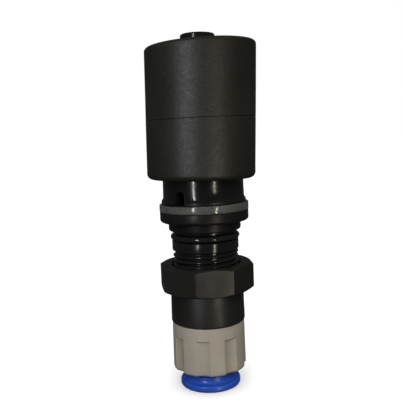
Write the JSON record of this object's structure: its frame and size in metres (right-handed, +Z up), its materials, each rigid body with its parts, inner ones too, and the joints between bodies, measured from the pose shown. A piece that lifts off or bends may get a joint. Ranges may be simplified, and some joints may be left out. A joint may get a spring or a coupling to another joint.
{
  "type": "cartridge valve",
  "caption": "Float-operated drain cartridge with a foam float over a flanged neck, threaded stem, lock nut, turning knob and push-in tube socket.",
  "frame": {"origin": "foot of the valve's axis, at the centre of the release ring's lower face", "axes": "+Z up along the axis from the tube socket to the float; -Y faces the side with the inlet slot on its left"},
  "size_m": [0.0339, 0.0332, 0.1061],
  "materials": {
    "foam": "matt closed-cell nitrile foam with fine pits",
    "gloss_black": "glossy moulded black nylon",
    "satin_black": "satin moulded black nylon",
    "knob_grey": "satin warm grey moulding",
    "release_blue": "smooth blue acetal",
    "clear_urethane": "clear, slightly cloudy polyurethane",
    "nitrile": "smooth black nitrile",
    "acetal": "off-white acetal",
    "stainless": "stainless steel",
    "brass": "turned brass"
  },
  "bodies": {
    "valve_body": {"housing": "gloss_black", "clear_seal_ring": "clear_urethane", "stem_o_ring": "nitrile", "lock_nut": "satin_black", "outlet_barrel": "satin_black", "barrel_seal": "nitrile", "knob_snap_ring": "stainless", "inlet_strainer": "satin_black", "grip_collar": "brass", "grip_ring": "stainless", "tube_seal": "nitrile", "guide_tower": "gloss_black", "tower_o_ring": "nitrile", "pilot_nozzle": "brass", "tower_cap": "gloss_black", "return_spring": "stainless"},
    "float": {"float_upper": "foam", "float_lower": "foam", "float_bush": "acetal", "float_pin": "stainless", "pilot_plunger": "acetal", "pilot_pad": "nitrile"},
    "spindle": {"drain_spindle": "stainless", "cam_pin": "stainless", "poppet": "acetal", "poppet_seal": "nitrile", "poppet_clip": "stainless", "piston": "acetal", "piston_o_ring": "nitrile", "piston_clip": "stainless"},
    "knob": {"manual_knob": "knob_grey"},
    "release": {"release_ring": "release_blue"}
  },
  "joints": [
    {"name": "float_lift", "type": "slide", "parent": "valve_body", "child": "float", "axis": [0, 0, 1], "range_m": [0, 0.005]},
    {"name": "knob_turn", "type": "hinge", "parent": "valve_body", "child": "knob", "pos_m": [0, 0, 0.0129], "axis": [0, 0, 1], "range_deg": [0, 90]},
    {"name": "spindle_drop", "type": "slide", "parent": "valve_body", "child": "spindle", "axis": [0, 0, -1], "range_m": [0, 0.0015], "deforming": ["return_spring"]},
    {"name": "release_push", "type": "slide", "parent": "valve_body", "child": "release", "axis": [0, 0, 1], "range_m": [0, 0.001]}
  ],
  "couplings": [
    {"joint": "knob_turn", "follows": "spindle_drop", "rad_per_m": 1047}
  ]
}
